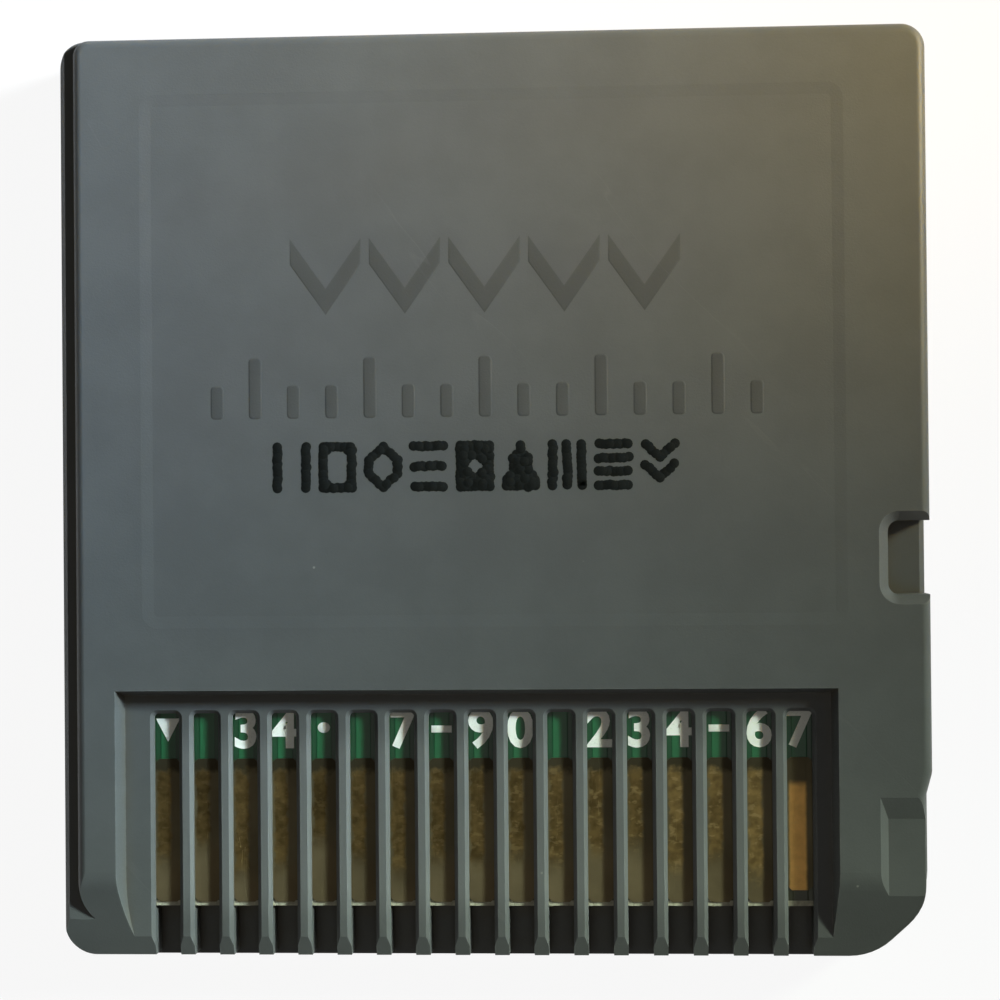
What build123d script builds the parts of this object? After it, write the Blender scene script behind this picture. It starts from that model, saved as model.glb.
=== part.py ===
from build123d import *
import os
from math import atan2, cos, degrees, sin

# Flat game cartridge for a handheld console, lying on its front face with the contact side up.
# X runs across the card, Y from the contact edge to the top edge, Z from the front face to the rear face.
# Millimetres. The origin is the centre of the card's footprint.

# Card
card_width = 33.0
card_height = 35.0
card_thickness = 3.8
parting_z = 1.9              # height at which the two shells meet
side_wall = 1.0
front_wall = 0.6
rear_wall = 0.9
shell_clearance = 0.05       # between the front shell's tongue or lip and the rear shell
board_clearance = 0.1        # around the edge of the board
cut_margin = 2.0             # how far cutting shapes reach past the card

# Outline
top_left_radius = 1.25
top_right_radius = 0.9
bottom_left_radius = 1.4
corner_cut = 2.3             # keyed corner, bottom right
corner_cut_radius = 2.2
front_edge_radius = 0.35
front_rim_bevel = 0.2        # round the front shell's rim, a groove where the shells meet
rear_edge_radius = 0.35
rear_setback = 0.15          # of the rear shell from the front shell at the contact edge
rear_inset = 0.25            # the same on the left side and beside the relief

# Ledge along the left edge of the rear shell
ledge_width = 0.85           # from the card's left edge to the ledge's wall
ledge_depth = 0.55
ledge_edge_bevel = 0.2
ledge_end_radius = 2.2       # with which its wall curves in towards the contact edge
rear_top_left_radius = 0.6

# Relief at the lower right of the rear shell
relief_width = 1.95
relief_height = 6.2
relief_depth = 0.2
relief_wall_run = 0.3        # how far its long wall leans out
relief_top_run = 0.8         # the same at its upper end
relief_ramp = 0.9
relief_ramp_radius = 0.6

# Latch notch in the right edge
notch_width = 1.54
notch_height = 2.75
notch_center_y = -2.4
notch_radius = 0.4
notch_bevel = 0.36
notch_wall = 0.7

# Shallow panel in the rear face
panel_width = 26.5
panel_height = 20.2
panel_center_x = 0.18
panel_center_y = 5.23
panel_depth = 0.025
panel_wall_run = 0.45        # how far its walls lean out
panel_radius = 0.6

# Contact window and its comb of ribs
contact_count = 17
contact_left_border = 4.15   # from the card's left edge to the first contact's axis
contact_right_border = 4.85  # from the last contact's axis to the card's right edge
window_height = 10.27
window_depth = 0.8
window_wall_run = 0.22       # how far the sloped walls lean out
window_sweep = 0.6           # how far its left wall curves in at the contact edge
window_left_margin = 1.1     # floor between the outer slots and the foot of the side walls
window_right_margin = 0.7
slot_width = 0.95
slot_end_margin = 0.7        # floor between the slots and the foot of the top wall
slot_radius = 0.15
rib_edge_bevel = 0.14
comb_lip_z = 1.6             # top of the front shell's low lip under the comb

# Lead-in bevel along the contact edge
bevel_length = 3.08
bevel_drop = 1.12
bevel_blend = 0.35

# Label recess in the front face, left bare
label_width = 28.6
label_height = 25.0
label_center_y = 1.0
label_depth = 0.15
label_radius = 1.2

# Tongue, shelf and locating pegs
tongue_thickness = 0.4
tongue_height = 0.5
board_seat = 0.65            # how far the board's edge lies on the shelf
peg_diameter = 1.6
peg_spacing = 22.0
peg_top_margin = 1.9         # from the board's top edge to the peg axis
peg_clearance = 0.1
peg_collar = 0.7
end_rib_width = 0.8

# Circuit board and contact pads
board_thickness = 0.8
board_top_z = 2.62
board_end_gap = 2.0          # from the card's contact edge to the end of the board
board_corner_radius = 0.4
pad_width = 1.05
pad_thickness = 0.05
pad_length = 5.45
pad_end_margin = 0.15        # from the pads' ends to the end of the board
last_pad_cut = 0.45          # the last pad ends short by this much
pad_corner = 0.2
rib_gap = 0.05               # between the pads and the underside of the ribs

# Packages on the far side of the board
chip_height = 0.9
chip_top_margin = 11.35      # from the board's top edge to the middle of the chips
chip_right_margin = 5.4      # from the board's right edge to the middle of the save chip
chip_spacing = 10.9          # between the middles of the two chips
chip_standoff = 0.05
chip_edge = 0.1
lead_thickness = 0.12
lead_shoulder = 0.25
lead_foot = 0.5
lead_reach = 1.1
memory_chip_width = 10.4
memory_chip_length = 14.0
memory_leads_per_side = 16
memory_lead_pitch = 0.8
memory_lead_width = 0.35
save_chip_width = 3.9
save_chip_length = 5.4
save_leads_per_side = 4
save_lead_pitch = 1.27
save_lead_width = 0.42
small_part_length = 1.6
small_part_width = 0.8
small_part_pitch = 4.0
small_part_y = -5.6
terminal_length = 0.32
terminal_wrap = 0.03
capacitor_count = 3
capacitor_height = 0.8
resistor_count = 2
resistor_height = 0.45

# Places worked out from the sizes above
left_x = -card_width / 2
right_x = card_width / 2
top_y = card_height / 2
contact_edge_y = -card_height / 2
rear_edge_y = contact_edge_y + rear_setback
rear_left_x = left_x + rear_inset
relief_x = right_x - rear_inset
ledge_x = left_x + ledge_width
ledge_z = card_thickness - ledge_depth
bevel_y = contact_edge_y + bevel_length
relief_y = contact_edge_y + relief_height
notch_x = right_x - notch_width

board_bottom_z = board_top_z - board_thickness
board_end_y = contact_edge_y + board_end_gap
rib_underside_z = board_top_z + pad_thickness + rib_gap
window_floor_z = card_thickness - window_depth
roof_z = card_thickness - rear_wall

cavity_left = ledge_x + side_wall
cavity_right = relief_x - side_wall
cavity_top = top_y - side_wall
cavity_bottom = board_end_y - board_clearance
cavity_corner = corner_cut / 2

board_inset = shell_clearance + tongue_thickness + board_clearance
shelf_width = board_inset + board_seat
board_left = cavity_left + board_inset
board_right = cavity_right - board_inset
board_top_y = cavity_top - board_inset
peg_x = (board_left + board_right) / 2
peg_y = board_top_y - peg_top_margin
save_chip_center = (board_right - chip_right_margin, board_top_y - chip_top_margin)
memory_chip_center = (save_chip_center[0] - chip_spacing, save_chip_center[1])

contact_span = card_width - contact_left_border - contact_right_border
contact_pitch = contact_span / (contact_count - 1)
contact_center_x = left_x + contact_left_border + contact_span / 2
comb_width = contact_span + slot_width
window_left = contact_center_x - comb_width / 2 - window_left_margin
window_right = contact_center_x + comb_width / 2 + window_right_margin
window_top_y = contact_edge_y + window_height
slot_top_y = window_top_y - window_wall_run - slot_end_margin

block_left = notch_x - notch_wall
block_height = notch_height + 2 * notch_wall

os.makedirs("parts", exist_ok=True)


def save(piece, label):
    """Name a finished piece and write its STEP file."""
    piece.part.label = label
    export_step(piece.part, f"parts/{label}.step")


def nearest_corner(sketch, x, y):
    """The sketch's vertex nearest to a point."""
    return sketch.vertices().sort_by_distance((x, y, 0))[0]


def box_between(x_range, y_range, z_range, mode=Mode.ADD):
    """A box between two corners, in the part being built."""
    ranges = (x_range, y_range, z_range)
    with Locations(tuple((low + high) / 2 for low, high in ranges)):
        Box(*(high - low for low, high in ranges), mode=mode)


def inner_outline(inset=0.0, bottom=cavity_bottom):
    """The shells' shared inner outline moved inwards by inset, stepped round the latch block."""
    with BuildSketch(mode=Mode.PRIVATE) as outline:
        with BuildLine():
            Polyline(
                (cavity_left + inset, bottom),
                (cavity_right - inset - cavity_corner, bottom),
                (cavity_right - inset, bottom + cavity_corner),
                (cavity_right - inset, cavity_top - inset),
                (cavity_left + inset, cavity_top - inset),
                close=True,
            )
        make_face()
        with Locations((block_left - inset, notch_center_y)):
            Rectangle(card_width, block_height + 2 * inset, align=(Align.MIN, Align.CENTER), mode=Mode.SUBTRACT)
    return outline.sketch


def peg_circles(radius):
    """Circles on the two peg axes, in the sketch being built."""
    with Locations((peg_x, peg_y)):
        with GridLocations(peg_spacing, 1, 2, 1):
            Circle(radius)


def contact_places():
    """The comb's slot axes, from left to right."""
    first = left_x + contact_left_border
    return [first + index * contact_pitch for index in range(contact_count)]


# Outline of the front shell
with BuildSketch() as front_outline:
    with BuildLine():
        Polyline(
            (left_x, contact_edge_y),
            (right_x - corner_cut, contact_edge_y),
            (right_x, contact_edge_y + corner_cut),
            (right_x, top_y),
            (left_x, top_y),
            close=True,
        )
    make_face()
    fillet(nearest_corner(front_outline, left_x, contact_edge_y), bottom_left_radius)
    fillet(nearest_corner(front_outline, right_x - corner_cut, contact_edge_y), corner_cut_radius)
    fillet(nearest_corner(front_outline, right_x, contact_edge_y + corner_cut), corner_cut_radius)
    fillet(nearest_corner(front_outline, right_x, top_y), top_right_radius)
    fillet(nearest_corner(front_outline, left_x, top_y), top_left_radius)

# Outline of the rear shell, with a ramp that leads down to the relief
with BuildSketch() as rear_outline:
    with BuildLine():
        Polyline(
            (rear_left_x, rear_edge_y),
            (right_x - corner_cut + rear_setback, rear_edge_y),
            (relief_x, contact_edge_y + corner_cut - rear_inset),
            (relief_x, relief_y),
            (right_x, relief_y + relief_ramp),
            (right_x, top_y),
            (rear_left_x, top_y),
            close=True,
        )
    make_face()
    fillet(nearest_corner(rear_outline, rear_left_x, rear_edge_y), bottom_left_radius - rear_inset)
    fillet(nearest_corner(rear_outline, right_x - corner_cut + rear_setback, rear_edge_y), corner_cut_radius)
    fillet(nearest_corner(rear_outline, relief_x, contact_edge_y + corner_cut - rear_inset), corner_cut_radius)
    fillet(nearest_corner(rear_outline, relief_x, relief_y), relief_ramp_radius)
    fillet(nearest_corner(rear_outline, right_x, relief_y + relief_ramp), relief_ramp_radius)
    fillet(nearest_corner(rear_outline, right_x, top_y), top_right_radius)
    fillet(nearest_corner(rear_outline, rear_left_x, top_y), top_left_radius - rear_inset)

# The same outline above the ledge, whose wall curves in where the lead-in bevel starts
with BuildSketch() as raised_field:
    with Locations((ledge_x, bevel_y - ledge_end_radius)):
        Rectangle(card_width, top_y - bevel_y + ledge_end_radius, align=(Align.MIN, Align.MIN))
    fillet(nearest_corner(raised_field, ledge_x, bevel_y - ledge_end_radius), ledge_end_radius)
    fillet(nearest_corner(raised_field, ledge_x, top_y), rear_top_left_radius)
with BuildSketch() as raised_outline:
    add(rear_outline.sketch)
    add(raised_field.sketch, mode=Mode.INTERSECT)

# Front shell: a tray with a shelf for the board, a tongue for the rear shell and two locating pegs
with BuildPart() as front_shell:
    add(front_outline.sketch)
    extrude(amount=parting_z)
    fillet(front_shell.faces().sort_by(Axis.Z)[0].outer_wire().edges(), front_edge_radius)
    chamfer(front_shell.faces().sort_by(Axis.Z)[-1].outer_wire().edges(), front_rim_bevel)
    # Hollow, with the shelf left standing round three sides
    with BuildSketch(Plane.XY.offset(front_wall)):
        add(inner_outline(shelf_width))
    extrude(amount=parting_z, mode=Mode.SUBTRACT)
    with BuildSketch(Plane.XY.offset(board_bottom_z)):
        add(inner_outline())
    extrude(amount=parting_z, mode=Mode.SUBTRACT)
    # Tongue that stands inside the rear shell's walls
    with BuildSketch(Plane.XY.offset(board_bottom_z)):
        add(inner_outline(shell_clearance))
        add(inner_outline(shell_clearance + tongue_thickness), mode=Mode.SUBTRACT)
    extrude(amount=parting_z + tongue_height - board_bottom_z)
    # Rib under the contact end of the board
    box_between(
        (cavity_left + shelf_width, cavity_right - shelf_width),
        (cavity_bottom, board_end_y + end_rib_width),
        (front_wall, board_bottom_z),
    )
    # Low lip under the comb
    box_between(
        (window_left, window_right),
        (contact_edge_y - cut_margin, cavity_bottom),
        (comb_lip_z, card_thickness),
        mode=Mode.SUBTRACT,
    )
    # Pegs, on collars that carry the board
    with BuildSketch(Plane.XY.offset(front_wall)):
        peg_circles(peg_diameter / 2 + peg_collar)
    extrude(amount=board_bottom_z - front_wall)
    with BuildSketch(Plane.XY.offset(board_bottom_z)):
        peg_circles(peg_diameter / 2)
    extrude(amount=roof_z - peg_clearance - board_bottom_z)
    # Label recess
    with BuildSketch():
        with Locations((0, label_center_y)):
            RectangleRounded(label_width, label_height, label_radius)
    extrude(amount=label_depth, mode=Mode.SUBTRACT)
save(front_shell, "front_shell")

# Rear shell: the moulding with the ledge, the contact window and its comb
with BuildPart() as rear_shell:
    with BuildSketch(Plane.XY.offset(parting_z)):
        add(rear_outline.sketch)
    extrude(amount=ledge_z - parting_z)
    with BuildSketch(Plane.XZ):
        with BuildLine():
            Polyline(
                (rear_left_x, ledge_z),
                (rear_left_x + ledge_edge_bevel, ledge_z),
                (rear_left_x, ledge_z - ledge_edge_bevel),
                close=True,
            )
        make_face()
    extrude(amount=card_height, both=True, mode=Mode.SUBTRACT)
    with BuildSketch(Plane.XY.offset(ledge_z)):
        add(raised_outline.sketch)
    extrude(amount=ledge_depth)
    fillet(rear_shell.faces().sort_by(Axis.Z)[-1].outer_wire().edges(), rear_edge_radius)
    # Teeth of the comb, which reach down past the end of the board
    box_between(
        (window_left + shell_clearance, window_right - shell_clearance),
        (rear_edge_y, cavity_bottom),
        (comb_lip_z + shell_clearance, parting_z),
    )
    # Hollow over the board, higher above the contact window
    with BuildSketch(Plane.XY.offset(parting_z)):
        add(inner_outline())
    extrude(amount=rib_underside_z - parting_z, mode=Mode.SUBTRACT)
    with BuildSketch(Plane.XY.offset(rib_underside_z)):
        add(inner_outline(bottom=window_top_y + side_wall))
    extrude(amount=roof_z - rib_underside_z, mode=Mode.SUBTRACT)
    # Bosses that press the board down round the pegs
    with BuildSketch(Plane.XY.offset(board_top_z)):
        peg_circles(peg_diameter / 2 + peg_collar)
    extrude(amount=roof_z - board_top_z)
    with BuildSketch(Plane.XY.offset(board_top_z)):
        peg_circles(peg_diameter / 2 + peg_clearance)
    extrude(amount=roof_z - board_top_z, mode=Mode.SUBTRACT)
    # Contact window with sloped walls, open at the contact edge
    with BuildSketch(Plane.XY.offset(card_thickness)):
        with BuildLine():
            mouth = Polyline(
                (window_left - window_wall_run + window_sweep, contact_edge_y),
                (window_left - window_wall_run + window_sweep, contact_edge_y - cut_margin),
                (window_right + window_wall_run, contact_edge_y - cut_margin),
                (window_right + window_wall_run, window_top_y),
                (window_left - window_wall_run, window_top_y),
                (window_left - window_wall_run, bevel_y),
            )
            TangentArc(mouth @ 1, mouth @ 0, tangent=(0, -1))
        make_face()
    extrude(amount=-window_depth, taper=degrees(atan2(window_wall_run, window_depth)), mode=Mode.SUBTRACT)
    # Slots over the contacts
    slot_bottom_y = contact_edge_y - cut_margin
    with BuildSketch(Plane.XY.offset(comb_lip_z)):
        with Locations((contact_center_x, (slot_top_y + slot_bottom_y) / 2)):
            with GridLocations(contact_pitch, 1, contact_count, 1):
                RectangleRounded(slot_width, slot_top_y - slot_bottom_y, slot_radius)
    extrude(amount=card_thickness, mode=Mode.SUBTRACT)
    level_faces = rear_shell.faces().filter_by(Axis.Z)
    window_floor = min(level_faces, key=lambda face: abs(face.center().Z - window_floor_z))
    slot_edges = window_floor.edges().filter_by_position(
        Axis.X, window_left + window_left_margin / 2, window_right - window_right_margin / 2
    )
    slot_edges = slot_edges.filter_by_position(Axis.Y, rear_edge_y + slot_radius, slot_top_y + slot_radius)
    chamfer(slot_edges, rib_edge_bevel)
    # Lead-in bevel, blended into the rear face
    bevel_angle = atan2(bevel_drop, bevel_length)
    with BuildSketch(Plane.YZ):
        with BuildLine():
            blend_end = (bevel_y - bevel_blend * cos(bevel_angle), card_thickness - bevel_blend * sin(bevel_angle))
            blend = TangentArc((bevel_y + bevel_blend, card_thickness), blend_end, tangent=(-1, 0))
            Polyline(
                blend @ 1,
                (contact_edge_y, card_thickness - bevel_drop),
                (contact_edge_y - cut_margin, card_thickness - bevel_drop),
                (contact_edge_y - cut_margin, card_thickness + cut_margin),
                (bevel_y + bevel_blend, card_thickness + cut_margin),
                blend @ 0,
            )
        make_face()
    extrude(amount=card_width, both=True, mode=Mode.SUBTRACT)
    # Shallow panel
    with BuildSketch(Plane.XY.offset(card_thickness)):
        with Locations((panel_center_x, panel_center_y)):
            RectangleRounded(panel_width, panel_height, panel_radius)
    extrude(amount=-panel_depth, taper=degrees(atan2(panel_wall_run, panel_depth)), mode=Mode.SUBTRACT)
    # Relief at the lower right
    relief_end_y = contact_edge_y - cut_margin
    for level, side_run, top_run in ((0, 0, 0), (relief_depth, relief_wall_run, relief_top_run)):
        with BuildSketch(Plane.XY.offset(card_thickness - level)):
            with Locations((right_x - relief_width + side_run, relief_end_y)):
                Rectangle(relief_width + cut_margin - side_run, relief_y - top_run - relief_end_y, align=Align.MIN)
    loft(mode=Mode.SUBTRACT)
    # Latch notch down to the front shell, with a bevelled rim
    with BuildSketch(Plane.XY.offset(parting_z)):
        with Locations((notch_x, notch_center_y)):
            RectangleRounded(
                notch_width + cut_margin, notch_height, notch_radius, align=(Align.MIN, Align.CENTER)
            )
    extrude(amount=card_thickness, mode=Mode.SUBTRACT)
    with BuildSketch(Plane.XY.offset(card_thickness)):
        with Locations((notch_x - notch_bevel, notch_center_y)):
            RectangleRounded(
                notch_width + cut_margin,
                notch_height + 2 * notch_bevel,
                notch_radius + notch_bevel,
                align=(Align.MIN, Align.CENTER),
            )
    extrude(amount=-notch_bevel, taper=45, mode=Mode.SUBTRACT)
save(rear_shell, "rear_shell")

# Circuit board, located on the pegs and stepped round the latch block
with BuildPart() as circuit_board:
    with BuildSketch(Plane.XY.offset(board_bottom_z)) as board_outline:
        add(inner_outline(board_inset, bottom=board_end_y))
        fillet(nearest_corner(board_outline, board_left, board_end_y), board_corner_radius)
        fillet(nearest_corner(board_outline, board_left, board_top_y), board_corner_radius)
        fillet(nearest_corner(board_outline, board_right, board_top_y), board_corner_radius)
    extrude(amount=board_thickness)
    with BuildSketch(Plane.XY.offset(board_bottom_z)):
        peg_circles(peg_diameter / 2 + peg_clearance)
    extrude(amount=board_thickness, mode=Mode.SUBTRACT)
save(circuit_board, "circuit_board")

# Plated contact pads, one under each slot
for number, pad_x in enumerate(contact_places(), start=1):
    cut = last_pad_cut if number == contact_count else 0.0
    with BuildPart() as contact:
        with BuildSketch(Plane.XY.offset(board_top_z)) as pad:
            with Locations((pad_x, board_end_y + pad_end_margin + cut)):
                Rectangle(pad_width, pad_length - cut, align=(Align.CENTER, Align.MIN))
            chamfer(pad.vertices(), pad_corner)
        extrude(amount=pad_thickness)
    save(contact, f"contact_{number:02d}")


def chip_package(center, width, length, label):
    """A moulded package hung under the board, with bevelled edges."""
    with BuildPart() as package:
        with BuildSketch(Plane.XY.offset(board_bottom_z - chip_standoff)):
            with Locations(center):
                Rectangle(width, length)
        extrude(amount=-chip_height)
        chamfer(package.faces().sort_by(Axis.Z)[0].edges(), chip_edge)
    save(package, label)


def chip_leads(center, width, per_side, pitch, lead_width, label):
    """Gull-wing leads down both long sides of a package, with their feet on the board."""
    middle_z = board_bottom_z - chip_standoff - chip_height / 2
    foot_z = board_bottom_z - lead_thickness / 2
    half = lead_thickness / 2
    start = width / 2
    foot = start + lead_reach - lead_foot
    with BuildPart() as lead:
        with BuildSketch(Plane.XZ):
            with BuildLine():
                Polyline(
                    (start, middle_z - half),
                    (start + lead_shoulder + half, middle_z - half),
                    (foot + half, foot_z - half),
                    (start + lead_reach, foot_z - half),
                    (start + lead_reach, foot_z + half),
                    (foot - half, foot_z + half),
                    (start + lead_shoulder - half, middle_z + half),
                    (start, middle_z + half),
                    close=True,
                )
            make_face()
        extrude(amount=lead_width / 2, both=True)
        mirror(about=Plane.YZ)
    with BuildPart() as leads:
        with Locations(center):
            with GridLocations(1, pitch, 1, per_side):
                add(lead.part)
    save(leads, label)


chip_package(memory_chip_center, memory_chip_width, memory_chip_length, "memory_chip")
chip_leads(
    memory_chip_center, memory_chip_width, memory_leads_per_side, memory_lead_pitch, memory_lead_width,
    "memory_chip_leads",
)
chip_package(save_chip_center, save_chip_width, save_chip_length, "save_chip")
chip_leads(
    save_chip_center, save_chip_width, save_leads_per_side, save_lead_pitch, save_lead_width,
    "save_chip_leads",
)


def small_part(center, height, label):
    """A chip capacitor or resistor under the board: a body between two end terminals."""
    top = board_bottom_z
    x, y = center
    inner = small_part_length / 2 - terminal_length
    half_width = small_part_width / 2
    body_half = half_width - terminal_wrap
    with BuildPart() as body:
        box_between(
            (x - inner, x + inner),
            (y - body_half, y + body_half),
            (top - height + terminal_wrap, top - terminal_wrap),
        )
    save(body, f"{label}_body")
    with BuildPart() as terminals:
        for side in (-1, 1):
            ends = sorted((x + side * inner, x + side * (inner + terminal_length)))
            box_between(ends, (y - half_width, y + half_width), (top - height, top))
        end_faces = terminals.faces().filter_by(Axis.X).sort_by(Axis.X)
        end_edges = end_faces[0].edges() + end_faces[-1].edges()
        chamfer(end_edges.filter_by(Axis.Y), terminal_wrap)
    save(terminals, f"{label}_terminals")


small_part_count = capacitor_count + resistor_count
small_part_start = peg_x - (small_part_count - 1) * small_part_pitch / 2
for index in range(small_part_count):
    place = (small_part_start + index * small_part_pitch, small_part_y)
    if index < capacitor_count:
        small_part(place, capacitor_height, f"capacitor_{index + 1}")
    else:
        small_part(place, resistor_height, f"resistor_{index - capacitor_count + 1}")
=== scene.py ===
import math
import random

import bmesh
import bpy
from bpy.props import FloatProperty, FloatVectorProperty, IntProperty, PointerProperty
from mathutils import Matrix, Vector


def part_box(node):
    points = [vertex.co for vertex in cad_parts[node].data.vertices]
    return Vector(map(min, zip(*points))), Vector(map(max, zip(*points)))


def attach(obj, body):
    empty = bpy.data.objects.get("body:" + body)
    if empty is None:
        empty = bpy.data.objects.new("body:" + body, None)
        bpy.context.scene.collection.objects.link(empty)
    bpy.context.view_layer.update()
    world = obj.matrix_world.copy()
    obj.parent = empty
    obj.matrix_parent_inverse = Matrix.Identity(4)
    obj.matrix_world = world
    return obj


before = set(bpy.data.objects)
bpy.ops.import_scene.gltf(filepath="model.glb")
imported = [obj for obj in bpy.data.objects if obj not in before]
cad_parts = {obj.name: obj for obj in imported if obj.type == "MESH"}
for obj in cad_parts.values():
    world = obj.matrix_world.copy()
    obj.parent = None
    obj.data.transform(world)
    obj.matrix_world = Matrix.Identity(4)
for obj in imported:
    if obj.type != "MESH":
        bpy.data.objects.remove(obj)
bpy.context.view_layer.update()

bl_info = {
    "name": "Game cartridge dressing",
    "version": (1, 0, 0),
    "blender": (4, 5, 0),
    "location": "3D View > Sidebar > Cartridge",
    "description": "Finishes, moulded and printed marks, and a pale stage for a flat game cartridge",
    "category": "Object",
}

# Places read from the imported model, in metres
MM = 0.001
CONTACTS = sorted(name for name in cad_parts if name.startswith("contact_"))
CONTACT_BOXES = [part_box(name) for name in CONTACTS]
CONTACT_X = [(low.x + high.x) / 2 for low, high in CONTACT_BOXES]
CONTACT_PITCH = (CONTACT_X[-1] - CONTACT_X[0]) / (len(CONTACT_X) - 1)
PAD_END_Y = CONTACT_BOXES[0][0].y
PAD_TOP_Y = CONTACT_BOXES[0][1].y
BOARD_LOW, BOARD_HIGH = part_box("circuit_board")
REAR_FACE_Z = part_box("rear_shell")[1].z

# Shared by several pieces or finishes
SUNK = 0.02 * MM          # how far the foot of a print lies in what carries it
MARK_SUNK = 0.004 * MM    # how far the foot of a moulded mark lies in the panel
MARK_BUILD = 0.1 * MM     # height of a moulded mark while its shoulders are cut, before it is pressed down
SMOOTH_ANGLE = 35.0       # degrees up to which neighbouring faces are shaded as one
MATTE_SPECULAR = 0.35     # specular level of the matte plastic and of the solder mask
FIELD_LOW = 0.3           # nearly all of a noise field lies between these two
FIELD_HIGH = 0.7


def colour_value(name, description, default):
    """A colour that a user may change."""
    return FloatVectorProperty(
        name=name, description=description, default=default, subtype="COLOR", size=3, min=0.0, max=1.0
    )


def length_value(name, description, default):
    """A length that a user may change, in metres."""
    return FloatProperty(
        name=name, description=description, default=default, min=0.0, unit="LENGTH", precision=6
    )


def place_value(name, description, default):
    """A place along an axis of the card that a user may change, in metres."""
    return FloatProperty(
        name=name, description=description, default=default, unit="LENGTH", precision=6
    )


def share_value(name, description, default):
    """A share from 0 to 1 that a user may change."""
    return FloatProperty(
        name=name, description=description, default=default, min=0.0, max=1.0, subtype="FACTOR"
    )


def power_value(name, description, default):
    """A lamp's power that a user may change, in watts."""
    return FloatProperty(name=name, description=description, default=default, min=0.0, unit="POWER")


class ShellFinish(bpy.types.PropertyGroup):
    colour: colour_value("Colour", "Grey of the moulded shells", (0.082, 0.086, 0.084))
    mark_colour: colour_value("Mark colour", "Darker grey of the moulded marks", (0.058, 0.060, 0.056))
    worn_colour: colour_value("Worn colour", "Paler grey of rubbed edges and scratches", (0.17, 0.175, 0.17))
    dust_colour: colour_value("Dust colour", "Specks of dust on the shells", (0.30, 0.30, 0.27))
    # Also painted shade: this brown darkens corners and recesses where the sky is hidden.
    grime_and_shade_colour: colour_value("Grime colour", "Brown dirt settled in the corners", (0.080, 0.064, 0.034))
    mottle: share_value("Mottle", "How far the grey wanders to either side", 0.06)
    # Painted light: the ribs are lightened to stand in for their lit sides, as well as for rubbing.
    rib_lightening_share: share_value("Rib rubbing", "How far the ribs are rubbed to the worn colour", 0.5)
    # Partly painted highlight: paler edges stand in for light catching them, as well as rubbing.
    edge_rubbing_and_highlight: share_value("Edge rubbing", "How far the edges are rubbed to the worn colour", 0.6)
    scratching: share_value("Scratching", "How far scratches show the worn colour", 0.10)
    grime_and_shade_share: share_value("Griminess", "How far settled dirt hides the plastic", 0.75)
    dustiness: share_value("Dustiness", "How far a speck of dust hides the plastic", 0.6)
    roughness: share_value("Roughness", "Roughness of the matte moulded surface", 0.5)
    grain_size: length_value("Grain size", "Width of the grain left by the mould", 0.09 * MM)
    grain_depth: length_value("Grain depth", "Depth of the grain left by the mould", 0.006 * MM)


class BoardFinish(bpy.types.PropertyGroup):
    mask_colour: colour_value("Mask", "Solder mask over bare laminate", (0.008, 0.062, 0.024))
    trace_colour: colour_value("Traces", "Solder mask over copper", (0.013, 0.118, 0.044))
    laminate_colour: colour_value("Laminate", "Bare glass-fibre edge", (0.46, 0.44, 0.33))
    olive_colour: colour_value("Pad surround", "Mask between the ends of the pads", (0.045, 0.052, 0.018))
    trace_width: length_value("Trace width", "Width of the copper traces above the pads", 0.5 * MM)
    trace_height: length_value("Trace height", "How far the traces stand up under the mask", 0.012 * MM)
    # Partly painted highlight: the pale strip stands in for the glint along the board's end as well as bare
    # laminate.
    bare_edge_and_glint: length_value("Bare edge", "Bare strip along the contact end", 0.2 * MM)
    mask_roughness: share_value("Mask roughness", "Roughness of the solder mask", 0.36)
    bare_roughness: share_value("Bare roughness", "Roughness of the bare laminate", 0.75)


class ContactFinish(bpy.types.PropertyGroup):
    gold_colour: colour_value("Gold", "Gold of the wiped strip on the contacts", (0.164, 0.113, 0.043))
    # Partly painted shade: the film right of the strip darkens the side of each contact that the rib beside
    # it shades.
    film_and_shade_colour: colour_value("Film", "Dark film beside the wiped strip", (0.185, 0.157, 0.095))
    dull_colour: colour_value("Dulled gold", "Olive plating below the wiped strip", (0.20, 0.158, 0.090))
    scratch_colour: colour_value("Scratches", "Bright gold in scratches and flecks", (0.50, 0.37, 0.17))
    # Painted reflection: the last contact's gold is painted brighter, standing in for light it reflects.
    painted_reflection_gold: colour_value("Fresh gold", "Gold of the last, cleaner contact", (0.52, 0.31, 0.10))
    roughness: share_value("Roughness", "Roughness of the worn plating", 0.55)


class PackageFinish(bpy.types.PropertyGroup):
    epoxy_colour: colour_value("Epoxy", "Black of the moulded packages", (0.014, 0.014, 0.015))
    tin_colour: colour_value("Tin", "Dull tin of leads and terminals", (0.56, 0.56, 0.54))
    ceramic_colour: colour_value("Ceramic", "Fired tan of the capacitors", (0.33, 0.22, 0.13))


class MouldedMarks(bpy.types.PropertyGroup):
    height: length_value("Height", "How far the moulded marks stand up from the panel", 0.012 * MM)
    shoulder: length_value("Shoulder", "Width of the soft edge round each mark", 0.08 * MM)
    panel_depth: length_value("Panel depth", "Depth of the panel that carries the marks", 0.025 * MM)
    arrow_count: IntProperty(name="Arrows", description="Insertion arrows in the row", default=5, min=1)
    arrow_pitch: length_value("Arrow pitch", "Distance between insertion arrows", 3.0 * MM)
    arrow_width: length_value("Arrow width", "Width of one insertion arrow", 2.7 * MM)
    arrow_drop: length_value("Arrow drop", "Height of an arrow's point", 1.9 * MM)
    arrow_stroke: length_value("Arrow stroke", "Thickness of an arrow's limbs", 1.0 * MM)
    arrow_y: place_value("Arrow place", "Height of the row on the panel", 9.3 * MM)
    tick_count: IntProperty(name="Ticks", description="Moulded ticks in the row", default=15, min=1)
    tick_pitch: length_value("Tick pitch", "Distance between moulded ticks", 1.45 * MM)
    tick_width: length_value("Tick width", "Width of one tick", 0.5 * MM)
    tick_height: length_value("Tick length", "Length of a long tick", 2.3 * MM)
    tick_y: place_value("Tick place", "Foot of the ticks on the panel", 3.0 * MM)


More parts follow.
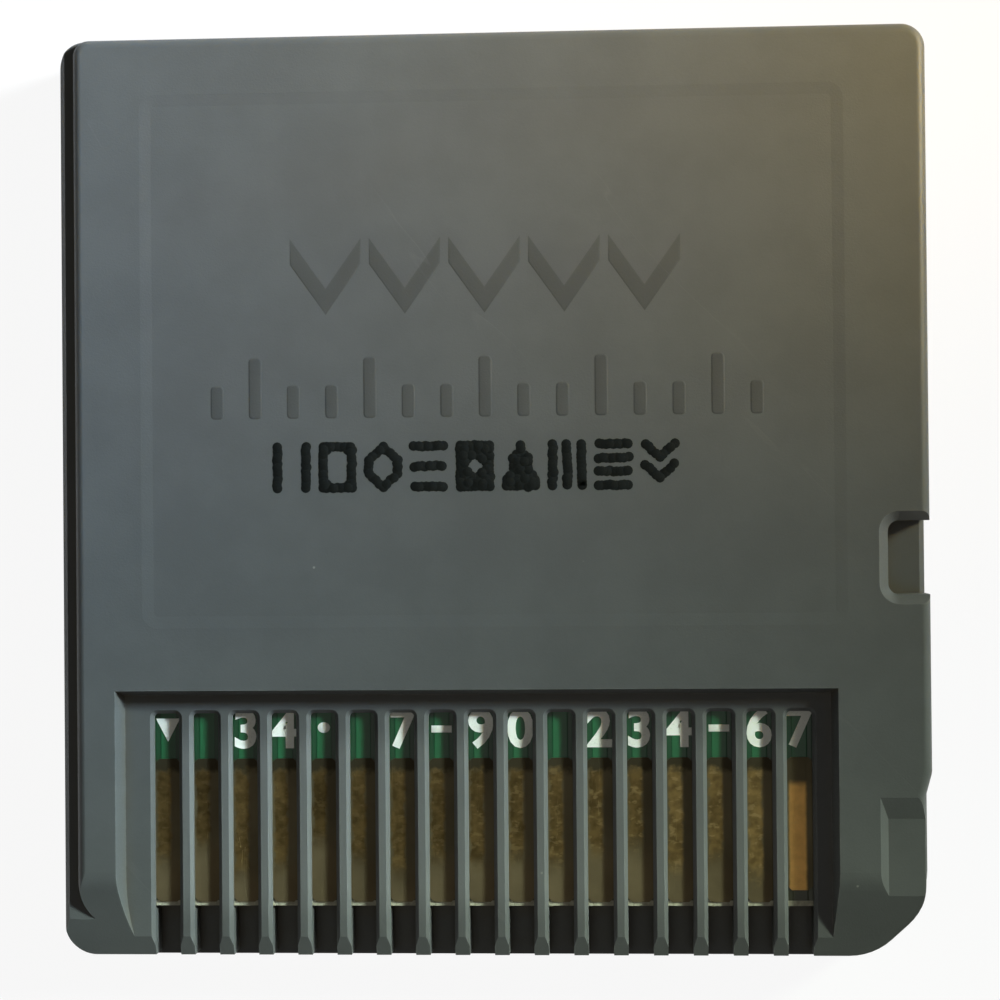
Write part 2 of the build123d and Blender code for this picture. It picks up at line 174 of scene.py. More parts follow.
class InkMarks(bpy.types.PropertyGroup):
    colour: colour_value("Ink", "Black ink of the printed marks", (0.006, 0.0075, 0.0065))
    dot_size: length_value("Dot", "Diameter of one drop of ink", 0.38 * MM)
    dot_pitch_x: length_value("Dot spacing", "Distance between drops across a mark", 0.27 * MM)
    dot_pitch_y: length_value("Row spacing", "Distance between rows of drops", 0.255 * MM)
    mark_pitch: length_value("Mark pitch", "Distance between printed marks", 1.73 * MM)
    film: length_value("Film", "Thickness of the ink", 0.006 * MM)
    center_x: place_value("Across", "Middle of the printed row across the card", -0.41 * MM)
    center_y: place_value("Place", "Middle of the printed row along the card", 1.16 * MM)


class PinLegend(bpy.types.PropertyGroup):
    colour: colour_value("Legend", "White print on the board", (0.98, 1.0, 0.93))
    size: length_value("Size", "Height of the printed figures", 1.36 * MM)
    film: length_value("Film", "Thickness of the print", 0.015 * MM)
    center_y: place_value("Place", "Middle of the printed row", -8.86 * MM)


class Stage(bpy.types.PropertyGroup):
    floor_colour: colour_value("Floor", "Pale floor", (0.86, 0.86, 0.85))
    horizon_colour: colour_value("Horizon", "Bright band of the room near the floor", (0.95, 0.95, 0.94))
    overhead_colour: colour_value("Overhead", "Dim room above", (0.012, 0.011, 0.009))
    window_power: power_value("Window", "Power of the lamp that is aimed low on the left", 5.22)
    window_colour: colour_value("Window colour", "Faintly green light, low on the left", (0.86, 1.0, 0.79))
    upper_power: power_value("Upper pane", "Power of the lamp that is aimed high on the left", 6.2)
    upper_colour: colour_value("Upper pane colour", "Blue light, high on the left", (0.60, 0.78, 1.0))
    lamp_power: power_value("Lamp", "Power of the warm lamp", 3.64)
    lamp_colour: colour_value("Lamp colour", "Amber light at the upper right", (1.0, 0.62, 0.0))
    ceiling_power: power_value("Ceiling", "Power of the dim ceiling", 0.05)
    ceiling_colour: colour_value("Ceiling colour", "Dim broad light from above", (1.0, 0.97, 0.9))
    lens: FloatProperty(
        name="Lens", description="Focal length on a 36 mm sensor", default=82.97, unit="CAMERA"
    )


class CartridgeSettings(bpy.types.PropertyGroup):
    shell: PointerProperty(type=ShellFinish)
    board: PointerProperty(type=BoardFinish)
    contact: PointerProperty(type=ContactFinish)
    package: PointerProperty(type=PackageFinish)
    moulded: PointerProperty(type=MouldedMarks)
    ink: PointerProperty(type=InkMarks)
    legend: PointerProperty(type=PinLegend)
    stage: PointerProperty(type=Stage)


def connect(tree, made, inputs):
    """Give each named input of a node its constant, or link it to the socket that feeds it."""
    for name, value in inputs.items():
        if isinstance(value, bpy.types.NodeSocket):
            tree.links.new(value, made.inputs[name])
        else:
            made.inputs[name].default_value = value


def place(tree, kind, inputs=None, **settings):
    """Add a shader node with its settings and inputs."""
    made = tree.nodes.new(kind)
    for name, value in settings.items():
        setattr(made, name, value)
    connect(tree, made, inputs or {})
    return made


def opaque(colour):
    """A colour with its alpha, as a colour socket takes it."""
    return (*colour, 1.0)


def calculate(tree, operation, first, second=0.0):
    """A Math node's result."""
    return place(tree, "ShaderNodeMath", {0: first, 1: second}, operation=operation).outputs[0]


def product(tree, first, *others):
    """Several values multiplied together."""
    for value in others:
        first = calculate(tree, "MULTIPLY", first, value)
    return first


def blended(tree, factor, first, second, mode="MIX"):
    """A colour between two others."""
    made = place(
        tree, "ShaderNodeMix", {0: factor, 6: first, 7: second}, data_type="RGBA", blend_type=mode
    )
    return made.outputs[2]


def shaded(tree, colour, level):
    """A colour made darker or paler by a level that changes over the surface."""
    return blended(tree, 1.0, colour, level, "MULTIPLY")


def stepped(tree, value, low, high, bottom=0.0, top=1.0):
    """A value carried smoothly from bottom to top as the input goes from low to high."""
    inputs = {"Value": value, "From Min": low, "From Max": high, "To Min": bottom, "To Max": top}
    return place(tree, "ShaderNodeMapRange", inputs, interpolation_type="SMOOTHSTEP").outputs["Result"]


def noise(tree, vector, scale, detail=2.0, roughness=0.5):
    """A noise texture's value."""
    inputs = {"Vector": vector, "Scale": scale, "Detail": detail, "Roughness": roughness}
    return place(tree, "ShaderNodeTexNoise", inputs).outputs["Fac"]


def spread(tree, field, bottom=0.0, top=1.0):
    """A noise field, carried over the whole range from bottom to top."""
    return stepped(tree, field, FIELD_LOW, FIELD_HIGH, bottom, top)


def coordinates(tree):
    """Object coordinates, which are the card's own."""
    return place(tree, "ShaderNodeTexCoord").outputs["Object"]


def mapped(tree, vector, **settings):
    """Coordinates that a Mapping node turns or stretches."""
    return place(tree, "ShaderNodeMapping", {"Vector": vector, **settings}).outputs[0]


def axes(tree, vector):
    """The X, Y and Z of a vector."""
    return place(tree, "ShaderNodeSeparateXYZ", {0: vector}).outputs


def start_group(name, values, results):
    """A shader node group that takes coordinates and values: its tree, its inputs and its results."""
    tree = bpy.data.node_groups.new(name, "ShaderNodeTree")
    tree.interface.new_socket("Vector", in_out="INPUT", socket_type="NodeSocketVector")
    for socket, default in values.items():
        made = tree.interface.new_socket(socket, in_out="INPUT", socket_type="NodeSocketFloat")
        made.default_value = default
    for socket in results:
        tree.interface.new_socket(socket, in_out="OUTPUT", socket_type="NodeSocketFloat")
    return tree, tree.nodes.new("NodeGroupInput").outputs, tree.nodes.new("NodeGroupOutput").inputs


def use_group(tree, name, inputs):
    """A shared effect, placed in a material with its own values."""
    made = tree.nodes.new("ShaderNodeGroup")
    made.node_tree = bpy.data.node_groups[name]
    connect(tree, made, inputs)
    return made.outputs


def build_grain():
    """Moulded grain: a fine height and a broad mottle."""
    finer, broader, coarse_share = 2.7, 32.0, 0.65
    tree, inputs, outputs = start_group("fine_grain", {"Size": 0.1 * MM}, ["Height", "Mottle"])
    scale = calculate(tree, "DIVIDE", 1.0, inputs["Size"])
    coarse = noise(tree, inputs["Vector"], scale, 2.0, 0.6)
    fine = noise(tree, inputs["Vector"], product(tree, scale, finer), 1.0)
    height = calculate(
        tree, "ADD", product(tree, coarse, coarse_share), product(tree, fine, 1.0 - coarse_share)
    )
    mottle = noise(tree, inputs["Vector"], calculate(tree, "DIVIDE", scale, broader), 4.0, 0.6)
    tree.links.new(height, outputs["Height"])
    tree.links.new(mottle, outputs["Mottle"])


def build_specks():
    """Dust: scattered round specks of differing size."""
    values = {"Spacing": 1.0 * MM, "Size": 0.1 * MM, "Share": 0.3}
    tree, inputs, outputs = start_group("dust_specks", values, ["Mask"])
    scale = calculate(tree, "DIVIDE", 1.0, inputs["Spacing"])
    cells = place(tree, "ShaderNodeTexVoronoi", {"Vector": inputs["Vector"], "Scale": scale})
    chance = place(tree, "ShaderNodeSeparateColor", {0: cells.outputs["Color"]}).outputs
    reach = product(tree, inputs["Size"], scale, chance["Green"])
    inside = stepped(tree, cells.outputs["Distance"], product(tree, reach, 0.5), reach, 1.0, 0.0)
    chosen = calculate(tree, "LESS_THAN", chance["Red"], inputs["Share"])
    tree.links.new(product(tree, inside, chosen), outputs["Mask"])


def build_scratches():
    """Hairline scratches that run along X, broken up along their length."""
    half_width, gap_scale, gap_start, gap_end = 0.012, 0.37, 0.7, 0.75
    values = {"Length": 10.0 * MM, "Width": 0.5 * MM, "Share": 0.1}
    tree, inputs, outputs = start_group("hairline_scratches", values, ["Mask"])
    across = calculate(tree, "DIVIDE", 1.0, inputs["Width"])
    along = calculate(tree, "DIVIDE", 1.0, inputs["Length"])
    stretch = place(tree, "ShaderNodeCombineXYZ", {"X": along, "Y": across, "Z": across}).outputs[0]
    stretched = place(
        tree, "ShaderNodeVectorMath", {0: inputs["Vector"], 1: stretch}, operation="MULTIPLY"
    ).outputs[0]
    field = noise(tree, stretched, 1.0, 1.0)
    off_centre = calculate(tree, "ABSOLUTE", calculate(tree, "SUBTRACT", field, 0.5))
    line = stepped(tree, off_centre, 0.0, half_width, 1.0, 0.0)
    threshold = calculate(tree, "SUBTRACT", gap_start, inputs["Share"])
    gaps = stepped(tree, noise(tree, stretched, gap_scale, 2.0), threshold, gap_end)
    tree.links.new(product(tree, line, gaps), outputs["Mask"])


def build_edge_paling():
    """Paler edges, rubbed and on the shells also a painted highlight: a mask where the surface turns sharply,
    broken up by noise.
    """
    sharp, flat = 0.80, 0.995      # how far the eased normal agrees with the true one
    patch_scale, patch_low, patch_high = 1400.0, 0.38, 0.62
    tree, inputs, outputs = start_group("edge_paling", {"Radius": 0.2 * MM}, ["Mask"])
    eased = place(tree, "ShaderNodeBevel", {"Radius": inputs["Radius"]}, samples=6).outputs["Normal"]
    facing = place(tree, "ShaderNodeNewGeometry").outputs["Normal"]
    agreement = place(
        tree, "ShaderNodeVectorMath", {0: eased, 1: facing}, operation="DOT_PRODUCT"
    ).outputs["Value"]
    edge = stepped(tree, agreement, sharp, flat, 1.0, 0.0)
    patches = stepped(tree, noise(tree, inputs["Vector"], patch_scale, 4.0, 0.65), patch_low, patch_high)
    tree.links.new(product(tree, edge, patches), outputs["Mask"])


def build_grime_and_shade():
    """Settled dirt and painted shade: a mask in corners and recesses, uneven along them."""
    sheltered, open_air = 0.35, 0.95      # how much of the sky a point sees
    patch_scale, patch_low, patch_high, thinnest = 900.0, 0.25, 0.7, 0.45
    tree, inputs, outputs = start_group("grime_and_painted_shade", {"Reach": 0.5 * MM}, ["Mask"])
    sky = place(
        tree, "ShaderNodeAmbientOcclusion", {"Distance": inputs["Reach"]}, samples=8
    ).outputs["AO"]
    corner = stepped(tree, sky, sheltered, open_air, 1.0, 0.0)
    field = noise(tree, inputs["Vector"], patch_scale, 3.0, 0.6)
    uneven = stepped(tree, field, patch_low, patch_high, thinnest, 1.0)
    tree.links.new(product(tree, corner, uneven), outputs["Mask"])


def start_material(name):
    """A material with a Principled shader: its tree, that shader and the card's coordinates."""
    material = bpy.data.materials.new(name)
    material.use_nodes = True
    tree = material.node_tree
    return material, tree, tree.nodes["Principled BSDF"], coordinates(tree)


def bump(tree, height, distance):
    """A normal from a height in units of distance."""
    inputs = {"Height": height, "Strength": 1.0, "Distance": distance}
    return place(tree, "ShaderNodeBump", inputs).outputs["Normal"]


def feed(tree, shader, **links):
    """Link sockets to the shader's inputs, named with spaces as underscores."""
    for name, socket in links.items():
        tree.links.new(socket, shader.inputs[name.replace("_", " ")])


def rib_lightening(tree, vector):
    """A mask over the ribs between the contacts, fading at both ends, where the ribs are painted paler:
    painted light for their lit sides, and rubbing by a slot's pins.
    """
    x, y, z = axes(tree, vector)
    low_start, low_end, low_share = PAD_END_Y - 1.0 * MM, PAD_END_Y + 0.8 * MM, 0.1
    return product(
        tree,
        calculate(tree, "GREATER_THAN", x, CONTACT_X[0]),
        calculate(tree, "LESS_THAN", x, CONTACT_X[-1]),
        calculate(tree, "GREATER_THAN", z, BOARD_LOW.z),
        stepped(tree, y, low_start, low_end, low_share, 1.0),
        stepped(tree, y, PAD_TOP_Y, PAD_TOP_Y + 1.4 * MM, 1.0, 0.0),
    )


def shell_plastic(name, finish, base, rubbed):
    """Matte moulded grey plastic with grain, mottle, ribs painted paler, edges paled for rubbing and painted
    highlight, scratches, settled dirt with painted shade in corners, and dust.
    """
    rough_swing, polishing, scratch_depth = 0.06, 0.1, 0.3
    material, tree, shader, vector = start_material(name)
    grain = use_group(tree, "fine_grain", {"Vector": vector, "Size": finish.grain_size})
    pale_edges = use_group(tree, "edge_paling", {"Vector": vector, "Radius": 0.12 * MM})["Mask"]
    dust = use_group(
        tree, "dust_specks", {"Vector": vector, "Spacing": 1.7 * MM, "Size": 0.13 * MM, "Share": 0.35}
    )["Mask"]
    slanted = mapped(tree, vector, Rotation=(0.0, 0.0, 0.8))
    scratch = use_group(
        tree, "hairline_scratches", {"Vector": slanted, "Length": 9.0 * MM, "Width": 1.1 * MM, "Share": 0.12}
    )["Mask"]
    grime_and_shade = use_group(tree, "grime_and_painted_shade", {"Vector": vector, "Reach": 0.8 * MM})["Mask"]
    darker, paler = (opaque(tuple(level * value for value in base))
                     for level in (1.0 - finish.mottle, 1.0 + finish.mottle))
    colour = blended(tree, spread(tree, grain["Mottle"]), darker, paler)
    layers = (
        # Ribs painted paler: painted light, with rubbing.
        (rib_lightening(tree, vector), finish.rib_lightening_share, finish.worn_colour),
        # Edges paled: rubbing, and painted highlight.
        (pale_edges, rubbed, finish.worn_colour),
        (scratch, finish.scratching, finish.worn_colour),
        # Darker in corners and recesses: settled dirt and painted shade.
        (grime_and_shade, finish.grime_and_shade_share, finish.grime_and_shade_colour),
        (dust, finish.dustiness, finish.dust_colour),
    )
    for mask, strength, tint in layers:
        colour = blended(tree, product(tree, mask, strength), colour, opaque(tint))
    polish = product(tree, calculate(tree, "MAXIMUM", pale_edges, scratch), -polishing)
    rough = spread(tree, grain["Height"], finish.roughness - rough_swing, finish.roughness + rough_swing)
    relief = calculate(tree, "SUBTRACT", grain["Height"], product(tree, scratch, scratch_depth))
    feed(
        tree, shader, Base_Color=colour, Roughness=calculate(tree, "ADD", rough, polish),
        Normal=bump(tree, relief, finish.grain_depth),
    )
    shader.inputs["Specular IOR Level"].default_value = MATTE_SPECULAR
    return material


def pad_steps(tree, x):
    """Distance across the card in pitches, a whole number half-way between two contacts."""
    start = CONTACT_X[0] - CONTACT_PITCH / 2
    return calculate(tree, "DIVIDE", calculate(tree, "SUBTRACT", x, start), CONTACT_PITCH)


def off_middle(tree, steps):
    """Distance from the middle of a contact, in pitches."""
    return calculate(tree, "SUBTRACT", calculate(tree, "FRACT", steps), 0.5)


def solder_mask(finish):
    """Green solder mask over traces, olive round the pads, with bare laminate at the edges; the pale strip at
    the contact end also stands in for the glint along the board's end, a painted highlight.
    """
    soft_side, soft_top, soft_end = 0.04, 0.1 * MM, 0.02 * MM     # pitches, then lengths
    weave_scale, grain_share, upright_limit = 5000.0, 0.3, 0.5
    material, tree, shader, vector = start_material("solder_mask")
    x, y, _ = axes(tree, vector)
    grain = use_group(tree, "fine_grain", {"Vector": vector, "Size": 0.14 * MM})
    off_axis = calculate(tree, "ABSOLUTE", off_middle(tree, pad_steps(tree, x)))
    half_trace = finish.trace_width / 2 / CONTACT_PITCH
    trace = stepped(tree, off_axis, half_trace, half_trace + soft_side, 1.0, 0.0)
    colour = blended(tree, trace, opaque(finish.mask_colour), opaque(finish.trace_colour))
    colour = shaded(tree, colour, spread(tree, grain["Mottle"], 0.8, 1.15))
    among_pads = stepped(tree, y, PAD_TOP_Y - soft_top, PAD_TOP_Y, 1.0, 0.0)
    colour = blended(tree, among_pads, colour, opaque(finish.olive_colour))
    normal = place(tree, "ShaderNodeNewGeometry").outputs["Normal"]
    upright = calculate(tree, "ABSOLUTE", axes(tree, normal)["Z"])
    # Pale strip at the contact end: bare laminate, and a painted highlight for the glint along it.
    end_y = BOARD_LOW.y + finish.bare_edge_and_glint
    bare_and_glint_strip = stepped(tree, y, end_y - soft_end, end_y + soft_end, 1.0, 0.0)
    bare = calculate(tree, "MAXIMUM", bare_and_glint_strip, calculate(tree, "LESS_THAN", upright, upright_limit))
    weave = spread(tree, noise(tree, vector, weave_scale, 2.0), 0.75, 1.1)
    colour = blended(tree, bare, colour, shaded(tree, opaque(finish.laminate_colour), weave))
    height = calculate(tree, "ADD", product(tree, grain["Height"], grain_share), trace)
    feed(
        tree, shader, Base_Color=colour,
        Roughness=stepped(tree, bare, 0.0, 1.0, finish.mask_roughness, finish.bare_roughness),
        Normal=bump(tree, height, finish.trace_height),
    )
    shader.inputs["Specular IOR Level"].default_value = MATTE_SPECULAR
    shader.inputs["Coat Weight"].default_value = 0.1
    shader.inputs["Coat Roughness"].default_value = 0.25
    return material


def contact_plating(name, finish, gold, zone, worn):
    """Gold plating under a dark film, olive at its foot and wiped bright along a strip left of its middle,
    ragged where worn; the bright left and the film to its right are partly painted light and shade.
    """
    left, right, foot, head = zone
    ragged_across, ragged_along, uneven_foot = 0.3, 0.12, 0.24    # millimetres, then shares of the length
    soft_left, soft_right, soft_foot, soft_head = 0.06, 0.08, 0.10, 0.03
    crown_fade, crown_end, crown_depth = 0.04, 0.02, 0.60
    material, tree, shader, vector = start_material(name)
    x, y, _ = axes(tree, vector)
    grain = use_group(tree, "fine_grain", {"Vector": vector, "Size": 0.12 * MM})
    steps = pad_steps(tree, x)
    chance = place(
        tree, "ShaderNodeTexWhiteNoise", {"W": calculate(tree, "FLOOR", steps)}, noise_dimensions="1D"
    ).outputs["Value"]

    # Where a point lies on its contact: across from the middle in millimetres, along as a share of the length
    ragged = product(tree, calculate(tree, "SUBTRACT", noise(tree, vector, 2600.0, 3.0), 0.5), worn)
    across = product(tree, off_middle(tree, steps), CONTACT_PITCH / MM)
    across = calculate(tree, "ADD", across, product(tree, ragged, ragged_across))
    along = calculate(tree, "DIVIDE", calculate(tree, "SUBTRACT", y, PAD_END_Y), PAD_TOP_Y - PAD_END_Y)
    along = calculate(tree, "ADD", along, product(tree, ragged, ragged_along))

    # The wiped strip, whose foot lies at a different height on each contact
    lift = product(tree, calculate(tree, "SUBTRACT", chance, 0.5), uneven_foot * worn)
    filmed = stepped(tree, calculate(tree, "ADD", along, lift), foot - soft_foot, foot + soft_foot)
    strip = product(
        tree,
        stepped(tree, across, left - soft_left, left + soft_left),
        stepped(tree, across, right - soft_right, right + soft_right, 1.0, 0.0),
        filmed,
        stepped(tree, along, head - soft_head, head + soft_head, 1.0, 0.0),
    )

    # Its gold, brighter towards the right of the card, over the film and the dulled foot
    level = product(
        tree, stepped(tree, chance, 0.0, 1.0, 0.85, 1.15), stepped(tree, x, -2.0 * MM, 12.0 * MM, 0.8, 1.4)
    )
    tarnish = spread(tree, noise(tree, vector, 2100.0, 2.0, 0.6), 1.0 - 0.3 * worn, 1.0 + 0.3 * worn)
    bright = shaded(tree, opaque(gold), product(tree, level, tarnish))
    shade = stepped(tree, grain["Mottle"], 0.3, 0.72, 0.8, 1.2)
    crown = stepped(tree, along, head - crown_fade, head + crown_end, 1.0, 1.0 - crown_depth * worn)
    under = blended(tree, filmed, opaque(finish.dull_colour), opaque(finish.film_and_shade_colour))
    under = shaded(tree, under, product(tree, shade, crown))
    colour = blended(tree, strip, under, bright)

    # Scratches along the contact, and flecks across the strip, more of them towards the right
    turned = mapped(tree, vector, Rotation=(0.0, 0.0, math.pi / 2))
    scratch = use_group(
        tree, "hairline_scratches", {"Vector": turned, "Length": 1.6 * MM, "Width": 0.12 * MM, "Share": 0.22}
    )["Mask"]
    marked = product(tree, scratch, stepped(tree, strip, 0.0, 1.0, 0.1, 0.5))
    rungs = mapped(tree, vector, Scale=(0.6, 1.0, 1.0))
    flecks = stepped(tree, noise(tree, rungs, 4400.0, 2.0, 0.6), 0.53, 0.66, 0.0, worn)
    flecks = product(tree, flecks, stepped(tree, x, -6.0 * MM, 9.0 * MM, 0.10, 0.40), strip)
    marked = calculate(tree, "MAXIMUM", marked, flecks)
    colour = blended(tree, marked, colour, opaque(finish.scratch_colour))
    rough = stepped(tree, strip, 0.0, 1.0, finish.roughness + 0.1, finish.roughness)
    height = calculate(tree, "SUBTRACT", product(tree, grain["Height"], 0.5), scratch)
    feed(tree, shader, Base_Color=colour, Roughness=rough, Normal=bump(tree, height, 0.006 * MM))
    shader.inputs["Metallic"].default_value = 1.0
    return material


def plain_finish(name, colour, grain_size, depth, roughness, metallic=0.0):
    """A mottled, finely grained finish for the packages, tin and ceramic."""
    rubbed, rough_swing = 0.5, 0.08
    material, tree, shader, vector = start_material(name)
    grain = use_group(tree, "fine_grain", {"Vector": vector, "Size": grain_size})
    pale_edges = use_group(tree, "edge_paling", {"Vector": vector, "Radius": 0.05 * MM})["Mask"]
    tinted = shaded(tree, opaque(colour), spread(tree, grain["Mottle"], 0.82, 1.15))
    paler = tuple(min(1.0, 1.5 * value + 0.02) for value in colour)
    tinted = blended(tree, product(tree, pale_edges, rubbed), tinted, opaque(paler))
    rough = spread(tree, grain["Height"], roughness - rough_swing, roughness + rough_swing)
    feed(tree, shader, Base_Color=tinted, Roughness=rough, Normal=bump(tree, grain["Height"], depth))
    shader.inputs["Metallic"].default_value = metallic
    return material


def print_finish(name, colour, break_up, carrier, gloss):
    """Printed ink or legend, thin enough in places to let the colour under it through."""
    thin_start, thin_end = 0.52, 0.72
    material, tree, shader, vector = start_material(name)
    grain = use_group(tree, "fine_grain", {"Vector": vector, "Size": 0.07 * MM})
    thin = stepped(tree, grain["Height"], thin_start, thin_end, 0.0, break_up)
    tinted = shaded(tree, opaque(colour), spread(tree, grain["Mottle"], 0.85, 1.1))
    tinted = blended(tree, thin, tinted, opaque(carrier))
    feed(
        tree, shader, Base_Color=tinted, Roughness=spread(tree, grain["Height"], 0.42, 0.6),
        Normal=bump(tree, grain["Height"], 0.004 * MM),
    )
    shader.inputs["Specular IOR Level"].default_value = gloss
    return material


def dress(names, material):
    """Give CAD nodes a material of their own."""
    for name in names:
        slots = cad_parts[name].data.materials
        slots.clear()
        slots.append(material)


def begin_piece():
    """Clear the selection, so that what comes next acts on the new piece alone."""
    bpy.ops.object.select_all(action="DESELECT")


def start_plate(width, height):
    """A flat plate round the origin, left in edit mode."""
    begin_piece()
    bpy.ops.mesh.primitive_plane_add(size=1.0, location=(0.0, 0.0, 0.0))
    bpy.ops.object.mode_set(mode="EDIT")
    bpy.ops.transform.resize(value=(width, height, 1.0))
    return bpy.context.object


def start_disc(sides, radius):
    """A flat disc or polygon round the origin, left in edit mode."""
    begin_piece()
    bpy.ops.mesh.primitive_circle_add(
        vertices=sides, radius=radius, fill_type="NGON", location=(0.0, 0.0, 0.0)
    )
    bpy.ops.object.mode_set(mode="EDIT")
    return bpy.context.object


def select_parts(piece, kind, test):
    """In edit mode, select only the vertices, edges or faces that pass a test."""
    bpy.ops.mesh.select_mode(type=kind)
    bpy.ops.mesh.select_all(action="DESELECT")
    mesh = bmesh.from_edit_mesh(piece.data)
    for part in {"VERT": mesh.verts, "EDGE": mesh.edges, "FACE": mesh.faces}[kind]:
        if test(part):
            part.select_set(True)
    mesh.select_flush_mode()
    bmesh.update_edit_mesh(piece.data)


def stand_up(piece, height, shoulder):
    """In edit mode, raise a flat outline into a solid and ease the rim of its top."""
    bpy.ops.mesh.select_all(action="SELECT")
    bpy.ops.mesh.extrude_region_move(TRANSFORM_OT_translate={"value": (0.0, 0.0, height)})
    bpy.ops.mesh.select_all(action="SELECT")
    bpy.ops.mesh.normals_make_consistent(inside=False)
    top = 0.99 * height

    def on_rim(edge):
        beside_wall = any(abs(face.normal.z) < 0.5 for face in edge.link_faces)
        return beside_wall and all(corner.co.z > top for corner in edge.verts)

    select_parts(piece, "EDGE", on_rim)
    bpy.ops.mesh.bevel(offset=shoulder, segments=2, affect="EDGES", clamp_overlap=True)


def raise_mark(piece, marks):
    """In edit mode, raise an outline with broad soft shoulders and press it down to its low height."""
    stand_up(piece, MARK_BUILD, marks.shoulder)
    bpy.ops.mesh.select_all(action="SELECT")
    pressed = (marks.height + MARK_SUNK) / MARK_BUILD
    bpy.ops.transform.resize(value=(1.0, 1.0, pressed), center_override=(0.0, 0.0, 0.0))


def copy_along(offsets):
    """In edit mode, move the whole mesh to the first place of a list and copy it to the others."""
    bpy.ops.mesh.select_all(action="SELECT")
    last = offsets[0]
    bpy.ops.transform.translate(value=last)
    for offset in offsets[1:]:
        step = tuple(b - a for a, b in zip(last, offset))
        bpy.ops.mesh.duplicate_move(TRANSFORM_OT_translate={"value": step})
        last = offset


def join_pieces(pieces):
    """Several pieces made one."""
    begin_piece()
    for piece in pieces:
        piece.select_set(True)
    bpy.context.view_layer.objects.active = pieces[0]
    bpy.ops.object.join()
    return pieces[0]


def finish_piece(piece, name, material):
    """Name a finished piece, give it its material and let it ride on the card."""
    piece.name = name
    piece.data.name = name
    piece.data.materials.clear()
    piece.data.materials.append(material)
    begin_piece()
    piece.select_set(True)
    bpy.context.view_layer.objects.active = piece
    bpy.ops.object.shade_smooth_by_angle(angle=math.radians(SMOOTH_ANGLE))
    begin_piece()
    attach(piece, "root")


class CARTRIDGE_OT_shared_effects(bpy.types.Operator):
    """Build the node groups that several finishes share"""

    bl_idname = "cartridge.shared_effects"
    bl_label = "Shared effects"

    def execute(self, context):
        build_grain()
        build_specks()
        build_scratches()
        build_edge_paling()
        build_grime_and_shade()
        return {"FINISHED"}


class CARTRIDGE_OT_shells(bpy.types.Operator):
    """Finish the two shells in matte moulded grey, and ready the finish of their marks"""

    bl_idname = "cartridge.shells"
    bl_label = "Shells"

    def execute(self, context):
        finish = context.scene.cartridge.shell
        plastic = shell_plastic("shell_plastic", finish, finish.colour, finish.edge_rubbing_and_highlight)
        dress(["front_shell", "rear_shell"], plastic)
        shell_plastic("moulded_marks", finish, finish.mark_colour, 0.0)
        return {"FINISHED"}


class CARTRIDGE_OT_board(bpy.types.Operator):
    """Finish the board in green solder mask with bare edges"""

    bl_idname = "cartridge.board"
    bl_label = "Circuit board"

    def execute(self, context):
        dress(["circuit_board"], solder_mask(context.scene.cartridge.board))
        return {"FINISHED"}


class CARTRIDGE_OT_contacts(bpy.types.Operator):
    """Finish the contacts in worn gold, with the last one less worn and painted brighter, a painted
    reflection
    """

    bl_idname = "cartridge.contacts"
    bl_label = "Contacts"

    # The wiped strip: its sides in millimetres from the contact's middle, then its foot and head as
    # shares of the contact's length
    # The strips lie left of each contact's middle, on the side the light reaches: their bright gold and the
    # film to their right are partly painted light and shade.
    worn_strip = (-0.42, 0.10, 0.30, 0.92)
    last_strip = (-0.40, 0.24, 0.0, 0.82)
    worn_share = 1.0
    last_share = 0.25

    def execute(self, context):
        finish = context.scene.cartridge.contact
        worn = contact_plating("worn_gold", finish, finish.gold_colour, self.worn_strip, self.worn_share)
        # The last contact is less worn, and its brighter gold is a painted reflection.
        fresh = contact_plating("fresh_gold", finish, finish.painted_reflection_gold, self.last_strip, self.last_share)
        dress(CONTACTS[:-1], worn)
        dress(CONTACTS[-1:], fresh)
        return {"FINISHED"}


class CARTRIDGE_OT_packages(bpy.types.Operator):
    """Finish the chips, their leads and the small parts under the board"""

    bl_idname = "cartridge.packages"
    bl_label = "Chips and small parts"

    def execute(self, context):
        finish = context.scene.cartridge.package
        epoxy = plain_finish("package_epoxy", finish.epoxy_colour, 0.08 * MM, 0.005 * MM, 0.55)
        tin = plain_finish("dull_tin", finish.tin_colour, 0.06 * MM, 0.002 * MM, 0.38, metallic=1.0)
        ceramic = plain_finish("fired_ceramic", finish.ceramic_colour, 0.05 * MM, 0.002 * MM, 0.45)
        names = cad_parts
        dress([n for n in names if n in ("memory_chip", "save_chip")], epoxy)
        dress([n for n in names if n.startswith("resistor") and n.endswith("body")], epoxy)
        dress([n for n in names if n.endswith("leads") or n.endswith("terminals")], tin)
        dress([n for n in names if n.startswith("capacitor") and n.endswith("body")], ceramic)
        return {"FINISHED"}


class CARTRIDGE_OT_insertion_arrows(bpy.types.Operator):
    """Model the row of raised arrows that point to the contact edge"""

    bl_idname = "cartridge.insertion_arrows"
    bl_label = "Insertion arrows"

    def execute(self, context):
        marks = context.scene.cartridge.moulded
        width = marks.arrow_width
        piece = start_plate(width, marks.arrow_stroke)
        select_parts(piece, "EDGE", lambda edge: abs(edge.verts[0].co.x - edge.verts[1].co.x) > width / 2)
        bpy.ops.mesh.subdivide(number_cuts=1)
        select_parts(piece, "VERT", lambda corner: abs(corner.co.x) < width / 10)
        bpy.ops.transform.translate(value=(0.0, -marks.arrow_drop, 0.0))
        raise_mark(piece, marks)
        foot = REAR_FACE_Z - marks.panel_depth - MARK_SUNK
        first = -(marks.arrow_count - 1) / 2 * marks.arrow_pitch
        copy_along([(first + i * marks.arrow_pitch, marks.arrow_y, foot) for i in range(marks.arrow_count)])
        bpy.ops.object.mode_set(mode="OBJECT")
        finish_piece(piece, "insertion_arrows", bpy.data.materials["moulded_marks"])
        return {"FINISHED"}


